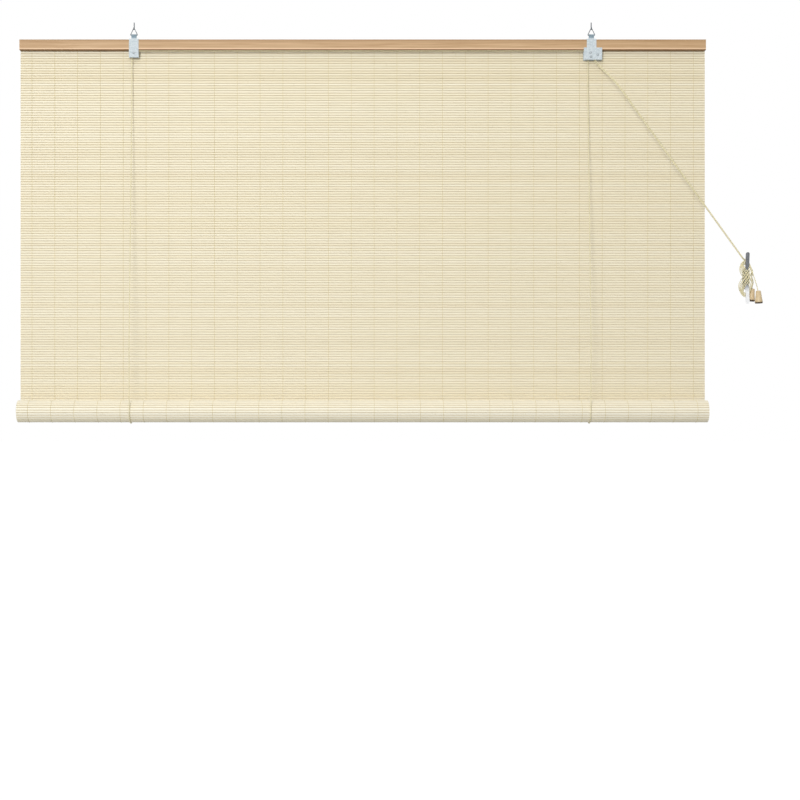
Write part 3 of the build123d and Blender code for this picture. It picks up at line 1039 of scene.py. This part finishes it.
@dataclass
class TwistedCord:
    """Cord of two strands laid round each other along a smooth route."""

    name: str
    route: Sequence[Point]
    lay: float = 7.0 * MM
    strand: float = 0.7 * MM
    strand_offset: float = 0.4 * MM
    step: float = 0.9 * MM
    sides: int = 7

    def build(self, material: Material) -> tuple[Thing, list[Point], float]:
        """Lay the strands along the route.

        Args:
            material: Finish of the cord.

        Returns:
            The cord, the points that it follows and their length.
        """
        source = drawn(self.name + "_line", Bend.SOFT, [self.route])
        path = [tuple(v.co) for v in source.vertices]
        tree = Recipe(
            self.name,
            {"Step": self.step, "Twist": TURN / self.lay, "Sides": self.sides, "Strand": self.strand,
             "One Side": (self.strand_offset, 0.0, 0.0), "Other Side": (-self.strand_offset, 0.0, 0.0)},
        )
        curve = tree.node("GeometryNodeMeshToCurve", None, {0: tree.size("Geometry")})
        even = tree.node(
            "GeometryNodeResampleCurve", {"mode": "LENGTH"}, {"Curve": curve, "Length": tree.size("Step")}
        )
        run = tree.node("GeometryNodeSplineParameter", None, None, "Length")
        angle = tree.node("ShaderNodeMath", {"operation": "MULTIPLY"}, {0: run, 1: tree.size("Twist")})
        twisted = tree.node("GeometryNodeSetCurveTilt", None, {"Curve": even, "Tilt": angle})
        ring = tree.node(
            "GeometryNodeCurvePrimitiveCircle", None,
            {"Resolution": tree.size("Sides"), "Radius": tree.size("Strand")},
        )
        strands = [
            tree.node("GeometryNodeTransform", None, {"Geometry": ring, "Translation": tree.size(side)})
            for side in ("One Side", "Other Side")
        ]
        section = tree.node("GeometryNodeJoinGeometry", None, {0: strands})
        laid = tree.node(
            "GeometryNodeCurveToMesh", None,
            {"Curve": twisted, "Profile Curve": section, "Fill Caps": True},
        )
        piece = tree.make(laid, material, source)
        length = sum((Vector(b) - Vector(a)).length for a, b in zip(path, path[1:]))
        return piece, path, length


@dataclass
class LiftCords:
    """The two lift cords: down the front, under the roll and up behind the mat."""

    cord_x: tuple[float, float] = (-504.5, 493.1)
    top_y: tuple[float, float] = (-3.6, -0.1)
    front_y: float = -43.7
    back_y: float = 9.3
    run_top: float = -58.6
    run_foot: float = -840.7
    stretches: Sequence[float] = (0.0, 0.04, 0.2, 0.8, 0.96, 1.0)
    drop_share: float = 0.12
    knee_y: float = -45.0
    knee_share: float = 0.8
    staple_top: float = -43.0
    roll_y: float = -17.2
    roll_z: float = -841.0
    sling_radius: float = 26.5
    diameter: float = 2.0 * MM

    def sling_route(self, x: float) -> list[Point]:
        """Route of a sling: the corners of half an octagon drawn round the roll.

        Args:
            x: Place of the cord along the blind.

        Returns:
            Route points in millimetres.
        """
        reach = self.sling_radius * math.tan(math.pi / 8.0)
        low = self.roll_z - self.sling_radius
        return [
            (x, self.front_y, self.roll_z),
            (x, self.front_y, self.roll_z - reach),
            (x, self.roll_y - reach, low),
            (x, self.roll_y + reach, low),
            (x, self.back_y, self.roll_z - reach),
            (x, self.back_y, self.roll_z),
        ]

    def front_point(self, x: float, top_y: float, share: float) -> Point:
        """Point of a front run.

        Args:
            x: Place of the cord along the blind.
            top_y: Depth of the run's top.
            share: Share of the run's height above the point.

        Returns:
            The point, on a line that drops from the pulley, goes forward and then down before the roll.
        """
        if share <= self.knee_share:
            forward = max(0.0, share - self.drop_share) / (self.knee_share - self.drop_share)
            y = top_y + (self.knee_y - top_y) * forward
        else:
            back = (share - self.knee_share) / (1.0 - self.knee_share)
            y = self.knee_y + (self.front_y - self.knee_y) * back
        return (x, y, self.run_top + (self.run_foot - self.run_top) * share)

    def blend_ends(self, line: Sequence[Point], first: float, last: float) -> tuple[Point, Point]:
        """Ends of the blend for one stretch, so that its own ends follow the roll by their shares.

        Args:
            line: Points of the stretch.
            first: Share at its upper end.
            last: Share at its lower end.

        Returns:
            Where the blend starts and where it ends, straight above and below each other.
        """
        # A blend eases in and out, so each share is turned back to its place along the blend
        upper, lower = (0.5 - math.sin(math.asin(1.0 - 2.0 * share) / 3.0) for share in (first, last))
        x, y, top = line[0]
        per_share = (line[-1][2] - top) / (lower - upper)
        start = top - upper * per_share
        return (x, y, start), (x, y, start + per_share)

    def build(self, finishes: Finishes) -> None:
        """Build both cords and set them on their bodies.

        Args:
            finishes: All finishes.
        """
        middle = (self.run_top + self.run_foot) / 2.0
        for side, x, top_y in zip(("left", "right"), self.cord_x, self.top_y):
            back = [(x, self.back_y, z) for z in (self.run_foot, middle, self.staple_top)]
            runs = [
                ("back_cord", "back_run", back, (back[-1], back[0])),
                ("sling_cord", "sling", self.sling_route(x), None),
            ]
            for i, (first, last) in enumerate(zip(self.stretches, self.stretches[1:]), 1):
                shares = (first, (first + last) / 2.0, last)
                line = [self.front_point(x, top_y, share) for share in shares]
                runs.append((f"front_cord_{i}", "front_run", line, self.blend_ends(line, first, last)))
            for label, node, route, ends in runs:
                piece, path, length = TwistedCord(f"{side}_{label}", route).build(finishes.cord)
                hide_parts(f"{side}_{node}")
                if ends:
                    top, low = metres(ends)
                    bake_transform(piece, Body.FRAME.value, Body.SLING.value, start=top, end=low)
                else:
                    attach(piece, Body.SLING.value)
                LOG.info("%s %s: %.3f m", side, label, length)


@dataclass
class Tassel:
    """Turned wooden tassel on the end of a pull cord."""

    name: str
    top: Point
    lean: float
    top_radius: float = 5.4
    bottom_radius: float = 8.5
    height: float = 27.5
    sides: int = 40
    # Share of the top's radius, and drop
    shoulder: Sequence[tuple[float, float]] = ((0.42, 0.0), (0.78, 0.25), (0.95, 0.9), (1.0, 2.0))
    # Share of the flare, and share of the height
    flank: Sequence[tuple[float, float]] = ((0.22, 0.3), (0.5, 0.55), (0.84, 0.8))
    # Share of the mouth's radius, share of the height, and share of painted shade on the rim and in the
    # hollow
    lip: Sequence[Point] = (
        (1.0, 0.88, 0.1), (0.99, 0.92, 0.9), (0.95, 0.98, 1.0), (0.88, 1.0, 1.0), (0.8, 0.99, 1.0),
        (0.62, 0.86, 0.9), (0.45, 0.68, 0.8), (0.0, 0.66, 0.8),
    )

    def outline(self) -> list[Point]:
        """Turned outline, from its top to the hollow under it.

        Returns:
            Radius and height in millimetres and the share of painted rim shade, from the axis to the axis.
        """
        top, mouth, height = self.top_radius, self.bottom_radius, self.height
        shoulder = [(top * out, -drop, 0.0) for out, drop in self.shoulder]
        flank = [(top + (mouth - top) * out, -height * down, 0.0) for out, down in self.flank]
        lip = [(mouth * out, -height * down, rim_shade) for out, down, rim_shade in self.lip]
        return [(0.0, 0.0, 0.0), *shoulder, *flank, *lip]

    def build(self, material: Material) -> Thing:
        """Turn the tassel.

        Args:
            material: Finish of the wood.

        Returns:
            The tassel in its place.
        """
        tilt = math.radians(self.lean)
        up = Vector((-math.sin(tilt), 0.0, math.cos(tilt)))
        across = Vector((math.cos(tilt), 0.0, math.sin(tilt)))
        out = Vector((0.0, 1.0, 0.0))
        made = bmesh.new()
        # Share of painted shade on the lower rim and in the hollow, read by the wood's finish
        rim_shade = made.verts.layers.float.new("rim")
        rings = []
        for radius, height, rim in self.outline():
            centre = Vector(self.top) + up * height
            ring = []
            for i in range(self.sides if radius else 1):
                angle = TURN * i / self.sides
                spoke = across * math.cos(angle) + out * math.sin(angle)
                ring.append(made.verts.new((centre + spoke * radius) * MM))
                ring[-1][rim_shade] = rim
            rings.append(ring)
        mesh = skinned(self.name, made, rings)
        mesh.shade_smooth()
        mesh.materials.append(material)
        return new_object(self.name, mesh)


@dataclass
class PullCords:
    """The two pull cords: through the lock, before the roll's path, round the cleat, to their tassels."""

    left_run: Sequence[Point] = (
        (-504.5, -3.6, -58.3), (-504.5, -3.6, -53.8), (-488.0, -3.6, -53.8), (485.6, -3.6, -53.8),
        (500.7, -3.6, -53.8), (509.0, -3.6, -76.0), (520.9, -15.7, -92.5), (549.3, -48.6, -132.0),
        (595.5, -44.7, -196.1), (818.5, -44.7, -505.9),
    )
    right_run: Sequence[Point] = (
        (493.1, -0.1, -58.3), (493.1, -0.1, -53.8), (500.9, -0.1, -53.8), (507.3, -0.1, -77.2),
        (518.8, -13.3, -93.2), (546.1, -48.6, -131.1), (592.3, -44.7, -195.2), (816.8, -44.7, -507.1),
    )
    front_tail: Sequence[Point] = ((842.0, -45.0, -542.7), (852.85, -51.0, -579.8), (853.4, -51.0, -595.3))
    rear_tail: Sequence[Point] = ((842.0, -37.0, -542.7), (844.6, -33.0, -574.1), (842.7, -33.0, -589.5))
    front_top: Point = (852.9, -51.0, -581.3)
    front_lean: float = 2.0
    rear_top: Point = (844.4, -33.0, -575.6)
    rear_lean: float = -7.0
    cleat: Point = (831.0, -41.5, -553.7)
    turns: int = 3
    points_per_turn: int = 24
    lead: float = 0.15
    tail_lead: float = 0.7
    neck: float = 8.0
    lobe: float = 12.0
    lobe_step: float = 3.0
    half_height: float = 42.0
    height_step: float = 3.2
    cord_height_step: float = 2.4
    front_depth: float = 5.2
    back_depth: float = 4.5
    layer: float = 1.1
    spread: float = 7.5
    cord_spread_step: float = 3.6
    left_shift: float = -3.0
    diameter: float = 2.0 * MM

    def hank(self, cord: int) -> list[Point]:
        """Figures of eight round the cleat's horns.

        Args:
            cord: 0 for one cord, 1 for the other, which lies beside it.

        Returns:
            Points in millimetres, in front of the bar where they cross and behind it at the horns.
        """
        x0, y0, z0 = self.cleat
        first = QUARTER + self.lead
        count = self.turns * self.points_per_turn
        found = []
        for i in range(count + 1):
            turn = (self.turns + (self.lead + self.tail_lead) / TURN) * i / count
            t = first - TURN * turn
            flat = math.cos(t) ** 2
            sideways = self.spread * (2.0 * turn / self.turns - 1.0) + self.cord_spread_step * cord
            tall = self.half_height - self.height_step * turn - self.cord_height_step * cord
            wide = math.sin(2.0 * t) * (self.neck + (self.lobe - self.lobe_step * turn) * flat ** 2)
            over = max(0.0, math.cos(2.0 * t))
            under = max(0.0, -math.cos(2.0 * t))
            found.append((
                x0 + self.left_shift + wide + sideways * flat,
                y0 - (self.front_depth + self.layer * math.cos(t)) * over + self.back_depth * under,
                z0 + tall * math.sin(t) - sideways * math.cos(t) / 2.0,
            ))
        return found

    def build(self, finishes: Finishes) -> None:
        """Build both cords with their tassels.

        Args:
            finishes: All finishes.
        """
        front = Tassel("front_tassel_turned", self.front_top, self.front_lean).build(finishes.tassel)
        rear = Tassel("rear_tassel_turned", self.rear_top, self.rear_lean).build(finishes.tassel)
        plans = (
            ("left", "front", self.left_run, self.front_tail, front, ["cord_hank"]),
            ("right", "rear", self.right_run, self.rear_tail, rear, []),
        )
        for cord, (side, end, run, tail, tassel, wound) in enumerate(plans):
            route = [*run, *self.hank(cord), *tail]
            piece, path, length = TwistedCord(f"{side}_pull", route).build(finishes.cord)
            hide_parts(f"{side}_pull_cord", f"{end}_tail", *wound)
            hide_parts(f"{end}_tassel")
            for part, slot in ((piece, Slot.CORD), (tassel, Slot.TASSEL)):
                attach(part, Body.FRAME.value)
            LOG.info("%s pull cord: %.3f m", side, length)


@dataclass
class Hangers:
    """Screw hooks, wire bails and rivets of the two brackets."""

    hook_x: tuple[float, float] = (-500.0, 500.0)
    hook_radius: float = 1.1
    loop_radius: float = 2.9
    loop_drop: float = 4.0
    loop_sweep: float = 205.0
    loop_steps: int = 20
    thread_length: float = 9.0
    thread_turns: float = 6.0
    thread_start: float = 0.5
    thread_end: float = 1.0
    thread_ridge: float = 0.22
    ridge_steps: int = 16
    ridge_sides: int = 4
    tip_share: float = 0.75
    bail_radius: float = 0.8
    bail_y: float = -2.9
    bail_base: float = -19.5
    bail_apex: float = -4.97
    bail_apex_rise: float = 2.4
    bail_half_width: float = 8.0
    bail_base_bend: float = 1.0
    bail_apex_bend: float = 2.0
    bail_bend_steps: int = 6
    rivets: Sequence[tuple[float, float]] = (
        (-500.0, -58.3), (497.6, -58.3), (498.7, -66.9), (513.2, -62.5),
    )
    rivet_backs: Sequence[float] = (4.8, 8.3, 8.3, 8.3)
    plate_y: float = -6.0
    sheet: float = 1.2
    head_radius: float = 2.9
    head_height: float = 1.8
    head_segments: int = 24
    head_rings: int = 12

    def hook_line(self, x: float) -> list[Point]:
        """Line of one hook: its shank and the loop that opens to the front.

        Args:
            x: Place along the headrail.

        Returns:
            Points in millimetres.
        """
        found = [(x, 0.0, self.thread_length), (x, 0.0, self.thread_length / 2.0), (x, 0.0, 0.0)]
        for i in range(self.loop_steps + 1):
            angle = math.radians(self.loop_sweep) * i / self.loop_steps
            y = -self.loop_radius + self.loop_radius * math.cos(angle)
            found.append((x, y, -self.loop_drop - self.loop_radius * math.sin(angle)))
        return found

    def bail_line(self, x: float) -> list[Point]:
        """Loop of one bail: a triangle of wire with rounded corners.

        Args:
            x: Place along the headrail.

        Returns:
            Points in millimetres.
        """
        corners = [
            (self.bail_half_width, self.bail_base, self.bail_base_bend),
            (0.0, self.bail_apex + self.bail_apex_rise, self.bail_apex_bend),
            (-self.bail_half_width, self.bail_base, self.bail_base_bend),
        ]
        found = []
        for i, (cx, cz, radius) in enumerate(corners):
            corner = Vector((cx, cz))
            before = (Vector(corners[i - 1][:2]) - corner).normalized()
            after = (Vector(corners[(i + 1) % 3][:2]) - corner).normalized()
            half = before.angle(after) / 2.0
            trim = radius / math.tan(half)
            centre = corner + (before + after).normalized() * (radius / math.sin(half))
            first = corner + before * trim - centre
            second = corner + after * trim - centre
            for k in range(self.bail_bend_steps + 1):
                spot = centre + first.lerp(second, k / self.bail_bend_steps).normalized() * radius
                found.append((x + spot.x, self.bail_y, spot.y))
        return found

    def thread_ridges(self, material: Material) -> Thing:
        """Cut-thread ridges on the hooks' shanks.

        Args:
            material: Finish of the wire.

        Returns:
            Both threads as one piece.
        """
        left, right = self.hook_x
        tree = Recipe(
            "hook_threads",
            {"Turns": self.thread_turns, "Low Radius": self.hook_radius * MM,
             "Tip Radius": self.hook_radius * self.tip_share * MM,
             "Height": (self.thread_length - self.thread_start - self.thread_end) * MM,
             "Ridge": self.thread_ridge * MM, "First Hook": (left * MM, 0.0, self.thread_start * MM),
             "Hook Step": ((right - left) * MM, 0.0, 0.0), "Hooks": len(self.hook_x)},
        )
        helix = tree.node(
            "GeometryNodeCurveSpiral", None,
            {"Resolution": self.ridge_steps, "Rotations": tree.size("Turns"), "Height": tree.size("Height"),
             "Start Radius": tree.size("Low Radius"), "End Radius": tree.size("Tip Radius")},
        )
        ring = tree.node(
            "GeometryNodeCurvePrimitiveCircle", None,
            {"Resolution": self.ridge_sides, "Radius": tree.size("Ridge")},
        )
        ridge = tree.node(
            "GeometryNodeCurveToMesh", None, {"Curve": helix, "Profile Curve": ring, "Fill Caps": True}
        )
        line = tree.node(
            "GeometryNodeMeshLine", None,
            {"Count": tree.size("Hooks"), "Start Location": tree.size("First Hook"),
             "Offset": tree.size("Hook Step")},
        )
        placed = tree.node("GeometryNodeInstanceOnPoints", None, {"Points": line, "Instance": ridge})
        return tree.make(placed, material)

    def rivet_heads(self, material: Material) -> Thing:
        """Domed heads at both ends of every rivet.

        Args:
            material: Finish of the rivets.

        Returns:
            All heads as one piece.
        """
        places = []
        for (x, z), gap in zip(self.rivets, self.rivet_backs):
            places += [(x, self.plate_y - self.sheet, z), (x, self.plate_y + gap + self.sheet, z)]
        source = bpy.data.meshes.new("rivet_places")
        source.from_pydata(metres(places), [], [])
        tree = Recipe(
            "rivet_set",
            {"Head Radius": self.head_radius * MM,
             "Flatten": (1.0, 1.0, self.head_height / self.head_radius)},
        )
        ball = tree.node(
            "GeometryNodeMeshUVSphere", None,
            {"Segments": self.head_segments, "Rings": self.head_rings, "Radius": tree.size("Head Radius")},
        )
        domed = tree.node(
            "GeometryNodeTransform", None,
            {"Geometry": ball, "Rotation": (QUARTER, 0.0, 0.0), "Scale": tree.size("Flatten")},
        )
        smooth = tree.node("GeometryNodeSetShadeSmooth", None, {"Geometry": domed})
        placed = tree.node(
            "GeometryNodeInstanceOnPoints", None, {"Points": tree.size("Geometry"), "Instance": smooth}
        )
        return tree.make(placed, material, source)

    def build(self, finishes: Finishes) -> None:
        """Build the small metal pieces and set them on the frame.

        Args:
            finishes: All finishes.
        """
        wires = (
            ("screw_hooks", [self.hook_line(x) for x in self.hook_x], self.hook_radius, False),
            ("wire_bails", [self.bail_line(x) for x in self.hook_x], self.bail_radius, True),
        )
        pieces = [
            (self.thread_ridges(finishes.wire), Slot.WIRE), (self.rivet_heads(finishes.rivet), Slot.ZINC),
        ]
        for node, lines, radius, closed in wires:
            mesh = drawn(node, Bend.STRAIGHT, lines, radius, closed)
            mesh.materials.clear()
            mesh.materials.append(finishes.wire)
            mesh.shade_smooth()
            piece = new_object(node + "_bent", mesh)
            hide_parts(node)
            pieces.append((piece, Slot.WIRE))
        for piece, slot in pieces:
            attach(piece, Body.FRAME.value)
            LOG.info("%s built", piece.name)


class CarriedOver:
    """Nodes of the frame whose shape is right and which only get a finish."""

    def __init__(self, finishes: Finishes) -> None:
        """Choose a finish for each node.

        Args:
            finishes: All finishes.
        """
        self.plan: dict[str, Material] = {
            "headrail": finishes.rail,
            "left_bracket": finishes.zinc, "right_bracket": finishes.zinc, "rivets": finishes.rivet,
            "lock_guide": finishes.zinc, "lock_pawl": finishes.zinc,
            "left_pulley": finishes.nylon, "right_pulley": finishes.nylon,
            "mat_staples": finishes.wire, "cord_staples": finishes.wire,
            "cleat": finishes.cleat, "cleat_screws": finishes.cleat,
        }

    def dress(self, nodes: dict[str, Thing]) -> None:
        """Give every node its finish.

        Args:
            nodes: Objects of the frame by node name.
        """
        for name, material in self.plan.items():
            piece = nodes[name]
            if not piece.material_slots:
                piece.data.materials.append(material)
            for slot in piece.material_slots:
                slot.material = material


@dataclass
class Studio:
    """Camera, light and pale surroundings."""

    camera_place: Point = (-1.5 * MM, -3393.0 * MM, -830.0 * MM)
    distance: float = 3400.0 * MM
    frame_width: float = 1754.4 * MM
    sensor: float = 36.0
    shift: tuple[float, float] = (0.0475, 0.0075)
    far_clip: float = 40.0
    key_place: Point = (-1.28, -5.12, 0.67)
    key_aim: Point = (0.0, 0.0, -0.45)
    key_size: float = 1.2
    key_power: float = 134.0
    top_place: Point = (0.2, -1.9, 2.4)
    top_aim: Point = (0.0, 0.0, -0.6)
    top_size: float = 2.4
    top_power: float = 22.0
    sky: float = 0.47
    floor_z: float = -1760.0 * MM
    floor_size: float = 80.0
    floor_colour: str = "#CBCBC7"
    floor_roughness: float = 0.9
    floor_glow: float = 1.16
    floor_glow_share: float = 0.85

    def camera(self) -> None:
        """Set the camera at the photograph's viewing angle."""
        data = bpy.data.cameras.new("view")
        data.sensor_width = self.sensor
        data.lens = self.sensor * self.distance / self.frame_width
        data.shift_x, data.shift_y = self.shift
        data.clip_end = self.far_clip
        eye = bpy.data.objects.new("view", data)
        eye.location = self.camera_place
        eye.rotation_euler = (QUARTER, 0.0, 0.0)
        bpy.context.scene.collection.objects.link(eye)
        bpy.context.scene.camera = eye

    def lamp(self, name: str, place: Point, aim: Point, size: float, power: float) -> None:
        """Hang a soft square lamp.

        Args:
            name: Name of the lamp.
            place: Where it hangs, in metres.
            aim: Point that it faces, in metres.
            size: Side of the square, in metres.
            power: Power in watts.
        """
        data = bpy.data.lights.new(name, "AREA")
        data.size = size
        data.energy = power
        made = bpy.data.objects.new(name, data)
        made.location = place
        made.rotation_euler = (Vector(aim) - Vector(place)).to_track_quat("-Z", "Y").to_euler()
        bpy.context.scene.collection.objects.link(made)

    def seen(self, tree: Tree) -> Socket:
        """Tell what the camera sees, straight, in gloss or through a surface.

        Args:
            tree: Tree of the world or of a material.

        Returns:
            Socket that is 1 there and 0 elsewhere.
        """
        path = add_node(tree, "ShaderNodeLightPath").node.outputs
        straight = add_node(
            tree, "ShaderNodeMath", {"operation": "MAXIMUM"},
            {0: path["Is Camera Ray"], 1: path["Is Glossy Ray"]},
        )
        return add_node(
            tree, "ShaderNodeMath", {"operation": "MAXIMUM"}, {0: straight, 1: path["Is Transmission Ray"]}
        )

    def world(self) -> None:
        """Light the scene evenly and show white behind it."""
        world = bpy.data.worlds.new("studio")
        world.use_nodes = True
        tree = world.node_tree
        tree.nodes.clear()
        white = linear(WHITE)
        light = add_node(tree, "ShaderNodeBackground", None, {"Color": white, "Strength": self.sky})
        behind = add_node(tree, "ShaderNodeBackground", None, {"Color": white, "Strength": 1.0})
        mixed = add_node(tree, "ShaderNodeMixShader", None, {0: self.seen(tree), 1: light, 2: behind})
        add_node(tree, "ShaderNodeOutputWorld", None, {"Surface": mixed})
        bpy.context.scene.world = world

    def floor(self) -> None:
        """Lay a pale floor that keeps a soft shadow."""
        half = self.floor_size / 2.0
        corners = [(-half, -half), (half, -half), (half, half), (-half, half)]
        mesh = bpy.data.meshes.new("floor")
        mesh.from_pydata([(x, y, self.floor_z) for x, y in corners], [], [(0, 1, 2, 3)])
        material, tree = start_material("painted_floor")
        shaded = add_node(
            tree, "ShaderNodeBsdfPrincipled", None,
            {"Base Color": linear(self.floor_colour), "Roughness": self.floor_roughness},
        )
        share = add_node(
            tree, "ShaderNodeMath", {"operation": "MULTIPLY"},
            {0: self.seen(tree), 1: self.floor_glow_share},
        )
        glow = add_node(
            tree, "ShaderNodeEmission", None, {"Color": linear(WHITE), "Strength": self.floor_glow}
        )
        mixed = add_node(tree, "ShaderNodeMixShader", None, {0: share, 1: shaded, 2: glow})
        add_node(tree, "ShaderNodeOutputMaterial", None, {"Surface": mixed})
        mesh.materials.append(material)
        new_object("floor", mesh)

    def build(self) -> None:
        """Set up the camera, the lamps, the world and the floor."""
        bpy.context.scene.view_settings.view_transform = "Standard"
        self.camera()
        self.lamp("key", self.key_place, self.key_aim, self.key_size, self.key_power)
        self.lamp("top", self.top_place, self.top_aim, self.top_size, self.top_power)
        self.world()
        self.floor()


def main() -> None:
    """Build every sub-assembly around the frame."""
    logging.basicConfig(level=logging.INFO)
    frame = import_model()
    Studio().build()
    finishes = Finishes()
    PullCords().build(finishes)
    LiftCords().build(finishes)
    Mat().build(finishes)
    Hangers().build(finishes)
    CarriedOver(finishes).dress(frame["nodes"])
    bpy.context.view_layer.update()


if __name__ == "__main__":
    main()
